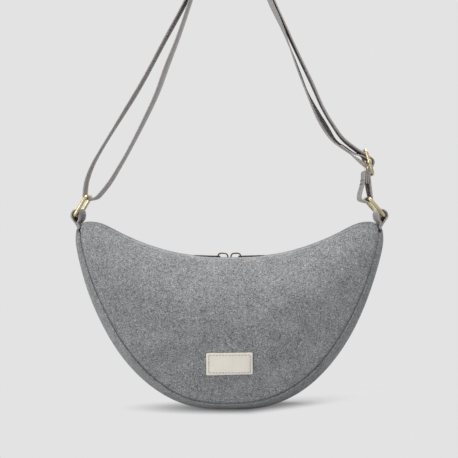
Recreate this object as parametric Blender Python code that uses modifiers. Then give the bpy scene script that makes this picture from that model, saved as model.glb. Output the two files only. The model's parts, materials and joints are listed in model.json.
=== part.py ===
"""Crescent belt bag: felt shells, a two-way zip and an adjustable webbing strap.

Metres, +Z up. X runs along the bag, Y from its front (negative) to its back.
The origin is the middle of the base that the bag stands on.
"""
import math

import bmesh
import bpy
from mathutils import Matrix, Vector
from mathutils.bvhtree import BVHTree
from mathutils.geometry import interpolate_bezier, intersect_line_line

MM = 0.001

# Clearance between touching pieces
GAP = 0.3 * MM

# Bag body: outer outline, seen from the front
BAG_HALF_WIDTH = 164.9 * MM
SIDE_HEIGHT = 182.3 * MM
FLOOR_SINK = 1.0 * MM
TOP_MIDDLE_HEIGHT = 159.8 * MM
TOP_ARC_RADIUS = 262.0 * MM
TOP_ARC_HALF_ANGLE = math.radians(29.2)
SHOULDER_TOP_HANDLE = 20.0 * MM
SHOULDER_SIDE_HANDLE = 21.0 * MM
OUTLINE_POWERS = (2.6, 1.34)
TAB_ROOT_SHARE = 0.70

# Seams between the panels and the strips that join them
SIDE_BULGE = 7.0 * MM
SEAM_FLOOR_HEIGHT = 9.0 * MM
TOP_SEAM_DROP = 2.0 * MM
SEAM_POWERS = (2.4, 1.22)
GUSSET_POWER = 2.5

# Depth from front to back
BASE_HALF_DEPTH = 38.0 * MM
TOP_HALF_DEPTH = 23.0 * MM
HORN_SIDE_PLAY = 0.8 * MM
PANEL_CROWN = 13.0 * MM
CROWN_SKEW = 1.3
BASE_TAPER_POWER = 2.6

# Felt, lining and how far each sewn edge stops short of its seam
FELT = 3.0 * MM
LINING = 0.8 * MM
SEAM_RELIEF = 1.9 * MM
LINING_RELIEF = 3.0 * MM
LINING_SINK = FELT + 3 * GAP
LINING_END_TRIM = 20.0 * MM
PANEL_END_TRIM = 3.5 * MM

# Zip
STRIP_EDGE = 6.5 * MM
STRIP_EDGE_DROP = 1.0 * MM
STRIP_POWER = 2.2
TAPE = 0.6 * MM
TAPE_INSET = 9.0 * MM
TAPE_END_TRIM = 1.5 * MM
CHAIN_HALF_SLIT = 0.6 * MM
TOOTH_WIDTH = 2.7 * MM
TOOTH_NOTCH = 0.6 * MM
TOOTH_HEIGHT = 2.4 * MM
TOOTH_PITCH = 5.0 * MM
CHAIN_END_ANGLE = math.radians(25.3)
STOP_LENGTH = 2.5 * MM

# Zip slider and its pull
SLIDER_LENGTH = 12.4 * MM
SLIDER_WIDTH = 10.0 * MM
SLIDER_WALL = 1.2 * MM
SLIDER_POST = 0.6 * MM
SLIDER_EDGE = 0.4 * MM
SLIDER_SPACING = 1.6 * MM
BRIDGE_HEIGHT = 6.0 * MM
BRIDGE_WIRE = 0.75 * MM
BRIDGE_POWERS = (0.6, 0.7)
PULL_LENGTH = 27.5 * MM
PULL_WIDTH = 7.0 * MM
PULL_THICKNESS = 1.6 * MM
PULL_HOLE_LENGTH = 5.0 * MM
PULL_HOLE_WIDTH = 3.5 * MM
PULL_CORNER = 2.5 * MM
PULL_ROOT_PLAY = 0.45 * MM
PULL_ROOT_LIFT = 0.9 * MM

# Webbing
WEBBING_WIDTH = 29.4 * MM
WEBBING = 2.0 * MM

# Rings
RING_WIRE = 1.9 * MM
RING_LENGTH = 23.8 * MM
RING_SIDE_PLAY = 0.4 * MM
RING_CORNER = 2.6 * MM
RING_LOOP_PLAY = 0.7 * MM
RING_LEFT_LEAN = math.radians(30.5)
RING_RIGHT_LEAN = math.radians(40.9)

# Tabs that hold the rings
TAB_LOOP_RADIUS = 6.4 * MM
TAB_LOOP_SHIFT = Vector((-0.6 * MM, 0.0, 9.5 * MM))
TAB_NECK_RADIUS = 1.3 * MM
TAB_NECK_RISE = 0.3 * MM
TAB_LEAN = math.radians(28.0)
TAB_INSIDE_LENGTH = 5.0 * MM
TAB_SLOT_PLAY = 1.3 * MM
TAB_SEAM_TRIM = 2.0 * MM
GUSSET_SLOT_PLAY = 3.3 * MM

# Strap adjuster
ADJUSTER_LEAN = math.radians(16.6)
ADJUSTER_LENGTH = 26.6 * MM
ADJUSTER_WIRE = 1.8 * MM
ADJUSTER_WIDTH = 36.0 * MM
ADJUSTER_CORNER = 4.0 * MM
EYE_WALL = 0.8 * MM
EYE_LENGTH = 4.0 * MM

# Label on the front
LABEL_WIDTH = 47.2 * MM
LABEL_HEIGHT = 22.8 * MM
LABEL_CENTRE_HEIGHT = 52.8 * MM
LABEL_THICKNESS = 0.9 * MM

# Route of the strap's free runs, seen from the front: (x, z) in millimetres, drawn for rings
# whose heads lie this far from the middle and this high on average
ROUTE_RING_HEAD = (148.96, 224.48)
ADJUSTER_SPOT = (147.2, 261.6)
SEWN_END = [(144.6, 252.6), (141.0, 245.0), (137.4, 237.0), (136.2, 229.5), (138.2, 222.5)]
OUTER_RIGHT = [
    (123.7, 286.4), (112.8, 301.4), (100.5, 321.7), (88.2, 347.7),
    (73.4, 378.6), (58.7, 410.0), (45.6, 438.5), (35.5, 465.0), (26.5, 489.0),
]
OUTER_APEX = [(14.5, 504.5), (0.0, 510.0), (-14.5, 504.5)]
OUTER_LEFT = [
    (-26.5, 489.0), (-35.5, 465.0), (-46.2, 436.5), (-70.5, 392.0), (-95.8, 345.2),
    (-122.6, 300.8), (-138.0, 275.0), (-147.4, 257.0), (-153.0, 240.0),
]
INNER_LEFT = [
    (-142.0, 224.2), (-129.2, 238.7), (-118.0, 256.6), (-107.0, 276.0), (-90.8, 307.5),
    (-76.0, 339.0), (-65.5, 367.5), (-53.0, 401.0), (-41.6, 435.0), (-32.0, 465.0), (-23.8, 487.2),
]
INNER_APEX = [(-13.0, 501.4), (0.0, 506.6), (13.0, 501.4)]
INNER_RIGHT = [
    (23.8, 487.2), (32.6, 464.0), (42.6, 437.2), (55.6, 408.5), (63.7, 387.0), (74.4, 357.4),
    (83.4, 334.1), (95.2, 307.1), (107.2, 288.0), (116.5, 279.8), (131.2, 269.6),
]
FOLDED_END = [(140.6, 269.6), (133.0, 272.0), (125.4, 276.8), (119.0, 281.4)]

# Mesh steps
PANEL_COLUMNS = 32
PANEL_ROWS = 7
GUSSET_COLUMNS = 52
GUSSET_ROWS = 6
STRIP_COLUMNS = 44
STRIP_ROWS = 3
LINING_COLUMNS = 20
LINING_ROWS = 4
TOP_ARC_STEPS = 24
SIDE_STEPS = 64
CORNER_STEPS = 4
BRIDGE_STEPS = 12
LABEL_COLUMNS = 8
LABEL_ROWS = 4
STRAP_STEP = 12 * MM
WELD = 0.01 * MM
SHOULDER_STEPS = 60
WRAP_STEP = math.radians(28.0)

# Materials: base colour, roughness, metallic
FELT_GREY = ("grey_felt", (0.235, 0.245, 0.250), 0.95, 0.0)
LINING_GREY = ("grey_lining", (0.120, 0.125, 0.130), 0.85, 0.0)
WEBBING_GREY = ("grey_webbing", (0.215, 0.200, 0.190), 0.80, 0.0)
TAPE_GREY = ("grey_zip_tape", (0.150, 0.150, 0.150), 0.85, 0.0)
RING_BRASS = ("aged_brass", (0.520, 0.440, 0.260), 0.32, 1.0)
ZIP_BRONZE = ("dark_bronze", (0.140, 0.105, 0.065), 0.38, 1.0)
LABEL_CREAM = ("cream_label", (0.640, 0.610, 0.540), 0.85, 0.0)

# Worked out from the sizes above
TAPE_TOP = -(STRIP_EDGE_DROP + FELT + GAP)
TEETH_BOTTOM = TAPE_TOP + GAP
TEETH_TOP = TEETH_BOTTOM + TOOTH_HEIGHT
ARC_CENTRE = Vector((0.0, 0.0, TOP_MIDDLE_HEIGHT + TOP_ARC_RADIUS))
TAB_SLOT = WEBBING + 0.5 * GAP + TAB_SLOT_PLAY
GUSSET_SLOT = WEBBING + 0.5 * GAP + GUSSET_SLOT_PLAY
TAB_ROOT = round(SHOULDER_STEPS * TAB_ROOT_SHARE)
HORN_HALF_DEPTH = WEBBING_WIDTH / 2 + HORN_SIDE_PLAY + FELT


# Scene

def empty_scene():
    for obj in list(bpy.data.objects):
        bpy.data.objects.remove(obj, do_unlink=True)
    for collection in list(bpy.data.collections):
        bpy.data.collections.remove(collection)


def make_collection(name):
    collection = bpy.data.collections.new(name)
    bpy.context.scene.collection.children.link(collection)
    return collection


def make_material(name, colour, roughness, metallic):
    material = bpy.data.materials.get(name) or bpy.data.materials.new(name)
    material.use_nodes = True
    shader = material.node_tree.nodes["Principled BSDF"]
    shader.inputs["Base Color"].default_value = (*colour, 1.0)
    shader.inputs["Roughness"].default_value = roughness
    shader.inputs["Metallic"].default_value = metallic
    material.diffuse_color = (*colour, 1.0)
    return material


def make_axis(name, at, parent=None):
    """An empty on a joint's axis. It isn't turned, so what hangs on it needs only an offset."""
    axis = bpy.data.objects.new(name, None)
    axis.empty_display_size = 10 * MM
    bpy.data.collections["belt_bag"].objects.link(axis)
    hang(axis, parent, at)
    return axis


def hang(obj, parent, at):
    """Place an object at a point of the world, under an empty that isn't turned."""
    obj.parent = parent
    obj.location = Vector(at) - world_point(parent)


def world_point(axis):
    point = Vector((0.0, 0.0, 0.0))
    while axis is not None:
        point += axis.location
        axis = axis.parent
    return point


def make_part(name, mesh, look, parent=None, at=None, turn=0.0):
    """A sub-part. Without a place of its own, its mesh is in world coordinates."""
    if at is None:
        at = world_point(parent)
        mesh.transform(Matrix.Translation(-at))
    obj = bpy.data.objects.new(name, mesh)
    bpy.data.collections["belt_bag"].objects.link(obj)
    hang(obj, parent, at)
    obj.rotation_euler = (0.0, turn, 0.0)
    mesh.materials.clear()
    mesh.materials.append(make_material(*look))
    return obj


def make_cutter(name, mesh, like):
    """A shape that is added to, or cut from, another object in that object's own axes."""
    obj = bpy.data.objects.new(name, mesh)
    bpy.data.collections["cutters"].objects.link(obj)
    obj.parent = like.parent
    obj.location = like.location
    obj.rotation_euler = like.rotation_euler
    obj.hide_render = True
    obj.display_type = "WIRE"
    return obj


def combine(obj, tool, operation):
    modifier = obj.modifiers.new(tool.name, "BOOLEAN")
    modifier.operation = operation
    modifier.object = tool


def solidify(obj, thickness, offset=-1.0):
    modifier = obj.modifiers.new("Thickness", "SOLIDIFY")
    modifier.thickness = thickness
    modifier.offset = offset
    modifier.use_even_offset = True


# Meshes

def mesh_from(bm, name):
    mesh = bpy.data.meshes.new(name)
    bm.to_mesh(mesh)
    bm.free()
    return mesh


def grid_mesh(name, rows):
    """An open surface through rows of points, each row as long as the next."""
    bm = bmesh.new()
    verts = [[bm.verts.new(point) for point in row] for row in rows]
    for low, high in zip(verts, verts[1:]):
        for i in range(len(low) - 1):
            bm.faces.new((low[i], low[i + 1], high[i + 1], high[i]))
    bm.normal_update()
    return mesh_from(bm, name)


def sunk_mesh(mesh, depth):
    """The same surface, moved back along its normals."""
    bm = bmesh.new()
    bm.from_mesh(mesh)
    bm.normal_update()
    shifts = [vert.normal * depth for vert in bm.verts]
    for vert, shift in zip(bm.verts, shifts):
        vert.co -= shift
    bm.to_mesh(mesh)
    bm.free()
    return mesh


def swept_mesh(name, sections):
    """A closed solid through sections that are closed outlines with as many points each."""
    bm = bmesh.new()
    rings = [[bm.verts.new(point) for point in section] for section in sections]
    count = len(rings[0])
    for ring, following in zip(rings, rings[1:]):
        for i in range(count):
            j = (i + 1) % count
            bm.faces.new((ring[i], ring[j], following[j], following[i]))
    bm.faces.new(list(reversed(rings[0])))
    bm.faces.new(rings[-1])
    bmesh.ops.recalc_face_normals(bm, faces=bm.faces)
    return mesh_from(bm, name)


def box_mesh(name, low, high):
    bm = bmesh.new()
    bmesh.ops.create_cube(bm, size=1.0)
    low = Vector(low)
    high = Vector(high)
    bmesh.ops.scale(bm, vec=high - low, verts=bm.verts)
    bmesh.ops.translate(bm, vec=(low + high) / 2, verts=bm.verts)
    return mesh_from(bm, name)


def rod_mesh(name, radius, length, axis, at=(0.0, 0.0, 0.0), sides=16):
    """A cylinder along local Y or Z."""
    bm = bmesh.new()
    bmesh.ops.create_cone(
        bm, cap_ends=True, segments=sides, radius1=radius, radius2=radius, depth=length
    )
    if axis == "Y":
        bmesh.ops.rotate(bm, matrix=Matrix.Rotation(math.pi / 2, 3, "X"), verts=bm.verts)
    bmesh.ops.translate(bm, vec=at, verts=bm.verts)
    return mesh_from(bm, name)


def wire_mesh(name, points, radius, cyclic):
    """A bent wire: a curve with a round section, turned into a mesh."""
    curve = bpy.data.curves.new(name, "CURVE")
    curve.dimensions = "3D"
    curve.bevel_depth = radius
    curve.bevel_resolution = 2
    curve.use_fill_caps = True
    spline = curve.splines.new("POLY")
    spline.points.add(len(points) - 1)
    for knot, point in zip(spline.points, points):
        knot.co = (*point, 1.0)
    spline.use_cyclic_u = cyclic
    return curve_as_mesh(name, curve)


def plate_mesh(name, outlines, thickness):
    """A flat plate in the local XY plane from its outline and holes."""
    curve = bpy.data.curves.new(name, "CURVE")
    curve.dimensions = "2D"
    curve.fill_mode = "BOTH"
    curve.extrude = thickness / 2
    for outline in outlines:
        spline = curve.splines.new("POLY")
        spline.points.add(len(outline) - 1)
        for knot, point in zip(spline.points, outline):
            knot.co = (point[0], point[1], 0.0, 1.0)
        spline.use_cyclic_u = True
    return curve_as_mesh(name, curve)


def curve_as_mesh(name, curve):
    holder = bpy.data.objects.new(name + "_curve", curve)
    bpy.context.scene.collection.objects.link(holder)
    graph = bpy.context.evaluated_depsgraph_get()
    mesh = bpy.data.meshes.new_from_object(holder.evaluated_get(graph))
    bpy.data.objects.remove(holder, do_unlink=True)
    bm = bmesh.new()
    bm.from_mesh(mesh)
    bmesh.ops.remove_doubles(bm, verts=bm.verts, dist=WELD)
    bmesh.ops.recalc_face_normals(bm, faces=bm.faces)
    bm.to_mesh(mesh)
    bm.free()
    mesh.name = name
    return mesh


# Lines in the front view, as vectors with y = 0

def spot(x, z):
    return Vector((x, 0.0, z))


def mirrored(point):
    return Vector((-point.x, point.y, point.z))


def lengths_along(points):
    lengths = [0.0]
    for a, b in zip(points, points[1:]):
        lengths.append(lengths[-1] + (b - a).length)
    return lengths


def even_points(points, pieces, trim=0.0):
    """Points at even distances along a line that stops short of its end by trim."""
    lengths = lengths_along(points)
    reach = lengths[-1] - trim
    found = []
    at_piece = 0
    for i in range(pieces + 1):
        target = reach * i / pieces
        while at_piece < len(points) - 2 and lengths[at_piece + 1] < target:
            at_piece += 1
        step = lengths[at_piece + 1] - lengths[at_piece]
        share = (target - lengths[at_piece]) / step
        found.append(points[at_piece].lerp(points[at_piece + 1], share))
    return found


def smooth_line(points, step):
    """A Catmull-Rom line through points, with a point about every step."""
    guide = [2 * points[0] - points[1], *points, 2 * points[-1] - points[-2]]
    line = []
    for before, a, b, after in zip(guide, guide[1:], guide[2:], guide[3:]):
        pieces = max(1, math.ceil((b - a).length / step))
        for i in range(pieces):
            t = i / pieces
            bend = (b - before) * t + (2 * before - 5 * a + 4 * b - after) * t * t
            line.append(a + 0.5 * (bend + (3 * a - before - 3 * b + after) * t ** 3))
    return [*line, points[-1]]


# Outlines of the bag, right half

def top_arc(drop):
    """The hollow top edge, from the middle outwards."""
    radius = TOP_ARC_RADIUS + drop
    points = []
    for i in range(TOP_ARC_STEPS + 1):
        angle = TOP_ARC_HALF_ANGLE * i / TOP_ARC_STEPS
        points.append(ARC_CENTRE + spot(radius * math.sin(angle), -radius * math.cos(angle)))
    return points


def half_lines(half_width, bottom, powers, drop):
    """The lower line to the bag's widest point, the top arc, and the shoulder between them."""
    lower = []
    for i in range(SIDE_STEPS + 1):
        angle = 0.5 * math.pi * i / SIDE_STEPS
        x = half_width * math.sin(angle) ** (2 / powers[0])
        fall = (SIDE_HEIGHT - bottom) * math.cos(angle) ** (2 / powers[1])
        lower.append(spot(x, SIDE_HEIGHT - fall))
    upper = top_arc(drop)
    slope = spot(math.cos(TOP_ARC_HALF_ANGLE), math.sin(TOP_ARC_HALF_ANGLE))
    shrink = half_width / BAG_HALF_WIDTH
    shoulder = interpolate_bezier(
        upper[-1],
        upper[-1] + slope * SHOULDER_TOP_HANDLE * shrink,
        lower[-1] + spot(0.0, SHOULDER_SIDE_HANDLE * shrink),
        lower[-1],
        SHOULDER_STEPS + 1,
    )
    return lower, upper, shoulder


def split_at(lower, upper, shoulder, root):
    """The lower and the upper line, each from the bag's middle to one point of the shoulder."""
    return lower + list(reversed(shoulder[root:-1])), upper + shoulder[1:root + 1]


def outer_lines():
    return half_lines(BAG_HALF_WIDTH, -FLOOR_SINK, OUTLINE_POWERS, 0.0)


def horn_root():
    """The point of the right shoulder where the tab leaves the bag."""
    return outer_lines()[2][TAB_ROOT]


def bag_lines():
    """The outer outline and the seam inside it, both cut at the root of the tab."""
    outer = outer_lines()
    shoulder = outer[2]
    along = (shoulder[TAB_ROOT - 1] - shoulder[TAB_ROOT + 1]).normalized()
    seam = half_lines(
        BAG_HALF_WIDTH - SIDE_BULGE, SEAM_FLOOR_HEIGHT, SEAM_POWERS, TOP_SEAM_DROP
    )
    offsets = [abs((point - shoulder[TAB_ROOT]).dot(along)) for point in seam[2]]
    lines = {}
    lines["lower"], lines["upper"] = split_at(*outer, TAB_ROOT)
    lines["seam_lower"], lines["seam_upper"] = split_at(*seam, offsets.index(min(offsets)))
    return lines


def both_sides(points):
    """Left and right halves in one row, from left to right."""
    return [mirrored(point) for point in reversed(points[1:])] + points


def shares(columns):
    """How far each column is from the middle, 1 at either horn."""
    return [abs(i / columns - 1) for i in range(2 * columns + 1)]


def base_depth(share):
    return HORN_HALF_DEPTH + (BASE_HALF_DEPTH - HORN_HALF_DEPTH) * (1 - share ** BASE_TAPER_POWER)


def top_depth(share):
    return HORN_HALF_DEPTH + (TOP_HALF_DEPTH - HORN_HALF_DEPTH) * (1 - share ** 2)


# Felt and lining surfaces

def panel_rows(lines, side, columns, rows, relief):
    """The crowned front (side -1) or back (side 1) panel between its two seams."""
    low = both_sides(even_points(lines["seam_lower"], columns, PANEL_END_TRIM))
    high = both_sides(even_points(lines["seam_upper"], columns, PANEL_END_TRIM))
    grid = []
    for row in range(rows + 1):
        line = []
        for foot, head, share in zip(low, high, shares(columns)):
            edge = relief / (head - foot).length
            rise = edge + (1 - 2 * edge) * row / rows
            depth = base_depth(share) + (top_depth(share) - base_depth(share)) * rise
            depth += PANEL_CROWN * (1 - share ** 2) * math.sin(math.pi * rise ** CROWN_SKEW)
            point = foot.lerp(head, rise)
            line.append(point + Vector((0.0, side * depth, 0.0)))
        grid.append(line if side < 0 else list(reversed(line)))
    return grid


def gusset_rows(lines, columns, rows, relief, trim):
    """The strip round the bottom, bulging past its seams and pressed flat by the floor."""
    outer = both_sides(even_points(lines["lower"], columns, trim))
    seam = both_sides(even_points(lines["seam_lower"], columns, trim + TAB_SEAM_TRIM))
    grid = []
    for row in range(rows + 1):
        line = []
        for crest, foot, share in zip(outer, seam, shares(columns)):
            half = base_depth(share)
            across = (2 * row / rows - 1) * (1 - relief / half)
            point = foot.lerp(crest, 1 - abs(across) ** GUSSET_POWER)
            line.append(Vector((point.x, half * across, max(point.z, 0.0))))
        grid.append(list(reversed(line)))
    return grid


def strip_rows(lines, side):
    """One of the two felt strips beside the zip, from its seam to its folded edge."""
    crest = both_sides(even_points(lines["upper"], STRIP_COLUMNS // 2, TAB_SLOT))
    seam_trim = TAB_SLOT + TAB_SEAM_TRIM
    seam = both_sides(even_points(lines["seam_upper"], STRIP_COLUMNS // 2, seam_trim))
    grid = []
    for row in range(STRIP_ROWS + 1):
        line = []
        for top, foot, share in zip(crest, seam, shares(STRIP_COLUMNS // 2)):
            half = top_depth(share)
            start = SEAM_RELIEF / (half - STRIP_EDGE)
            left = (1 - start) * (1 - row / STRIP_ROWS)
            inward = 1 - left
            outward = (top - foot).normalized()
            point = foot.lerp(top, 1 - left ** STRIP_POWER)
            point -= outward * STRIP_EDGE_DROP * inward ** 4
            depth = half + (STRIP_EDGE - half) * inward
            line.append(point + Vector((0.0, side * depth, 0.0)))
        grid.append(line if side < 0 else list(reversed(line)))
    return grid


def make_shell(lines):
    """Front and back panels, the gusset and the two zip strips."""
    for name, side in (("front_panel", -1), ("back_panel", 1)):
        rows = panel_rows(lines, side, PANEL_COLUMNS // 2, PANEL_ROWS, SEAM_RELIEF)
        solidify(make_part(name, grid_mesh(name, rows), FELT_GREY), FELT)
    rows = gusset_rows(lines, GUSSET_COLUMNS // 2, GUSSET_ROWS, SEAM_RELIEF, GUSSET_SLOT)
    solidify(make_part("bottom_gusset", grid_mesh("bottom_gusset", rows), FELT_GREY), FELT)
    for name, side in (("zip_strip_front", -1), ("zip_strip_back", 1)):
        solidify(make_part(name, grid_mesh(name, strip_rows(lines, side)), FELT_GREY), FELT)


def make_lining(lines):
    """Thin lining just inside the felt."""
    for name, side in (("lining_front", -1), ("lining_back", 1)):
        rows = panel_rows(lines, side, LINING_COLUMNS // 2, LINING_ROWS, LINING_RELIEF)
        mesh = sunk_mesh(grid_mesh(name, [row[1:-1] for row in rows]), LINING_SINK)
        solidify(make_part(name, mesh, LINING_GREY), LINING)
    relief = LINING_RELIEF + FELT
    rows = gusset_rows(lines, GUSSET_COLUMNS // 2, LINING_ROWS, relief, LINING_END_TRIM)
    mesh = sunk_mesh(grid_mesh("lining_gusset", rows), LINING_SINK)
    solidify(make_part("lining_gusset", mesh, LINING_GREY), LINING)


def make_label():
    """A sewn label that follows the front panel."""
    panel = bmesh.new()
    panel.from_mesh(bpy.data.objects["front_panel"].data)
    surface = BVHTree.FromBMesh(panel)
    panel.free()
    rows = []
    for row in range(LABEL_ROWS + 1):
        z = LABEL_CENTRE_HEIGHT + LABEL_HEIGHT * (row / LABEL_ROWS - 0.5)
        line = []
        for column in range(LABEL_COLUMNS + 1):
            x = LABEL_WIDTH * (column / LABEL_COLUMNS - 0.5)
            hit = surface.ray_cast(Vector((x, -1.0, z)), Vector((0.0, 1.0, 0.0)))[0]
            line.append(hit - Vector((0.0, GAP, 0.0)))
        rows.append(line)
    solidify(make_part("label", grid_mesh("label", rows), LABEL_CREAM), LABEL_THICKNESS, 1.0)


# Zip

def along_top(lines, columns, level, trim):
    """The top line moved outwards by level, with each point's outward direction."""
    line = both_sides(even_points(lines["upper"], columns, trim))
    moved = []
    for i, point in enumerate(line):
        run = line[min(i + 1, len(line) - 1)] - line[max(i - 1, 0)]
        moved.append(point + spot(-run.z, run.x).normalized() * level)
    return moved


def make_tape(lines, name, side):
    """Woven tape sewn under a strip, from the chain to its outer edge."""
    columns = STRIP_COLUMNS // 2
    trim = TAB_SLOT + TAPE_END_TRIM
    top = along_top(lines, columns, TAPE_TOP, trim)
    low = along_top(lines, columns, TAPE_TOP - TAPE, trim)
    sections = []
    for upper, under, share in zip(top, low, shares(columns)):
        inner = side * CHAIN_HALF_SLIT
        outer = side * (top_depth(share) - TAPE_INSET)
        sections.append([
            upper + Vector((0.0, inner, 0.0)),
            upper + Vector((0.0, outer, 0.0)),
            under + Vector((0.0, outer, 0.0)),
            under + Vector((0.0, inner, 0.0)),
        ])
    make_part(name, swept_mesh(name, sections), TAPE_GREY)


def on_arc(angle, level):
    radius = TOP_ARC_RADIUS - level
    return ARC_CENTRE + spot(radius * math.sin(angle), -radius * math.cos(angle))


def make_teeth(name, side):
    """One row of the chain: a bead whose inner edge is notched at the tooth pitch."""
    half_pitches = 2 * round(CHAIN_END_ANGLE * TOP_ARC_RADIUS / TOOTH_PITCH)
    sections = []
    for i in range(-half_pitches, half_pitches + 1):
        angle = CHAIN_END_ANGLE * i / half_pitches
        tooth = (i % 2 == 0) == (side < 0)
        inner = side * (CHAIN_HALF_SLIT + (0.0 if tooth else TOOTH_NOTCH))
        outer = side * (CHAIN_HALF_SLIT + TOOTH_WIDTH)
        top = on_arc(angle, TEETH_TOP)
        low = on_arc(angle, TEETH_BOTTOM)
        sections.append([
            top + Vector((0.0, inner, 0.0)),
            top + Vector((0.0, outer, 0.0)),
            low + Vector((0.0, outer, 0.0)),
            low + Vector((0.0, inner, 0.0)),
        ])
    make_part(name, swept_mesh(name, sections), ZIP_BRONZE)


def make_stop(name, side):
    """The clip that ends the chain."""
    half_width = CHAIN_HALF_SLIT + TOOTH_WIDTH
    angle = side * (CHAIN_END_ANGLE + (STOP_LENGTH / 2 + GAP) / TOP_ARC_RADIUS)
    low = (-STOP_LENGTH / 2, -half_width, TEETH_BOTTOM)
    high = (STOP_LENGTH / 2, half_width, TEETH_TOP)
    mesh = box_mesh(name, low, high)
    make_part(name, mesh, ZIP_BRONZE, at=on_arc(angle, 0.0), turn=-angle)


def bridge_points():
    """Centre line of the arch on top of the slider."""
    half = SLIDER_LENGTH / 2 - BRIDGE_WIRE
    rise = BRIDGE_HEIGHT - BRIDGE_WIRE + SLIDER_WALL / 2
    points = []
    for i in range(BRIDGE_STEPS + 1):
        angle = math.pi * i / BRIDGE_STEPS
        reach = abs(math.cos(angle)) ** BRIDGE_POWERS[0]
        x = math.copysign(half * reach, math.cos(angle))
        points.append(spot(x, rise * math.sin(angle) ** BRIDGE_POWERS[1] - SLIDER_WALL / 2))
    return points


def make_slider(name, side, parent):
    """The slider's body, with a channel for each row of teeth and a bridge for the pull."""
    angle = side * slider_rest_angle()
    top = TEETH_TOP + GAP + SLIDER_WALL
    bottom = TAPE_TOP - TAPE - GAP - SLIDER_WALL
    half_length = SLIDER_LENGTH / 2
    half_width = SLIDER_WIDTH / 2
    mesh = box_mesh(name, (-half_length, -half_width, bottom), (half_length, half_width, top))
    body = make_part(name, mesh, ZIP_BRONZE, parent, on_arc(angle, 0.0), -angle)
    bevel = body.modifiers.new("Rounded edges", "BEVEL")
    bevel.width = SLIDER_EDGE
    bevel.segments = 1
    bridge = make_cutter(name + "_bridge", wire_mesh(name, bridge_points(), BRIDGE_WIRE, False), body)
    combine(body, bridge, "UNION")
    channel = CHAIN_HALF_SLIT + TOOTH_WIDTH + GAP
    for hand in (-1, 1):
        reach = half_length + SLIDER_WALL
        spans = {
            "chain": (SLIDER_POST / 2, channel, TEETH_TOP + GAP),
            "tape": (SLIDER_POST / 2, half_width + SLIDER_WALL, TEETH_BOTTOM),
        }
        for use, (near, far, ceiling) in spans.items():
            sides = sorted((hand * near, hand * far))
            low = (-reach, sides[0], bottom + SLIDER_WALL)
            high = (reach, sides[1], ceiling)
            label = f"{name}_{use}_{'front' if hand < 0 else 'back'}"
            combine(body, make_cutter(label, box_mesh(label, low, high), body), "DIFFERENCE")


def slider_rest_angle():
    return (SLIDER_LENGTH + SLIDER_SPACING) / 2 / TOP_ARC_RADIUS


def pull_pivot(side):
    """Centre of the pull's root bar, inside the outer leg of the bridge."""
    leg = SLIDER_LENGTH / 2 - 2 * BRIDGE_WIRE
    tangent = leg - PULL_ROOT_PLAY - PULL_THICKNESS / 2
    angle = side * slider_rest_angle()
    radial = PULL_THICKNESS / 2 + PULL_ROOT_LIFT
    along = spot(math.cos(angle), math.sin(angle)) * side * tangent
    return on_arc(angle, radial) + along


def make_pull(name, side, parent):
    """A flat pull whose root bar is caught under the bridge."""
    bar = PULL_THICKNESS / 2
    half = PULL_WIDTH / 2
    outline = [(-side * bar, -half), (-side * bar, half)]
    for quarter, hand in ((0, 1), (1, -1)):
        for i in range(CORNER_STEPS + 1):
            turn = 0.5 * math.pi * (1 - i / CORNER_STEPS if hand > 0 else i / CORNER_STEPS)
            x = PULL_LENGTH - PULL_CORNER + PULL_CORNER * math.cos(turn)
            y = hand * (half - PULL_CORNER + PULL_CORNER * math.sin(turn))
            outline.append((side * x, y))
    hole_half = PULL_HOLE_WIDTH / 2
    hole_end = bar + PULL_HOLE_LENGTH
    hole = [
        (side * bar, -hole_half), (side * bar, hole_half),
        (side * hole_end, hole_half), (side * hole_end, -hole_half),
    ]
    mesh = plate_mesh(name, [outline, hole], PULL_THICKNESS)
    turn = -side * slider_rest_angle()
    make_part(name, mesh, ZIP_BRONZE, parent, world_point(parent), turn)


def make_zip(lines):
    for name, side in (("front", -1), ("back", 1)):
        make_tape(lines, "zip_tape_" + name, side)
        make_teeth("zip_teeth_" + name, side)
    for name, side in (("left", -1), ("right", 1)):
        make_stop("zip_stop_" + name, side)
        slide_axis = make_axis("axis_slider_" + name, ARC_CENTRE)
        make_slider("zip_slider_" + name, side, slide_axis)
        pull_axis = make_axis("axis_pull_" + name, pull_pivot(side), slide_axis)
        make_pull("zip_pull_" + name, side, pull_axis)


# Rings and adjuster

def rounded_rectangle(width, length, corner):
    """Closed centre line in the local YZ plane, centred on the origin."""
    points = []
    for quarter in range(4):
        y = (width / 2 - corner) * (1 if quarter in (0, 3) else -1)
        z = (length / 2 - corner) * (1 if quarter in (0, 1) else -1)
        for i in range(CORNER_STEPS + 1):
            angle = 0.5 * math.pi * (quarter + i / CORNER_STEPS)
            points.append(Vector((0.0, y + corner * math.cos(angle), z + corner * math.sin(angle))))
    return points


def tab_loop_centre():
    return horn_root() + TAB_LOOP_SHIFT


def ring_foot(side):
    """Centre of the ring's lower bar, which pulls at the outer wall of the tab's loop."""
    foot = tab_loop_centre() + spot(TAB_LOOP_RADIUS - WEBBING / 2 - RING_WIRE - GAP, 0.0)
    return foot if side > 0 else mirrored(foot)


def ring_lean(side):
    return RING_LEFT_LEAN if side < 0 else -RING_RIGHT_LEAN


def ring_head(side):
    """Centre of the ring's upper bar, which carries the strap."""
    lean = ring_lean(side)
    return ring_foot(side) + spot(math.sin(lean), math.cos(lean)) * RING_LENGTH


def ring_mesh(name):
    """A rectangular wire ring whose lower bar runs through the local origin."""
    width = WEBBING_WIDTH + 2 * (RING_SIDE_PLAY + RING_WIRE)
    line = rounded_rectangle(width, RING_LENGTH, RING_CORNER)
    lifted = [point + spot(0.0, RING_LENGTH / 2) for point in line]
    return wire_mesh(name, lifted, RING_WIRE, True)


def sway_centre():
    """Where the lines of the two rings meet: the strap starts any sideways sway about this point."""
    left = (ring_foot(-1), ring_head(-1))
    right = (ring_foot(1), ring_head(1))
    return intersect_line_line(*left, *right)[0]


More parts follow.
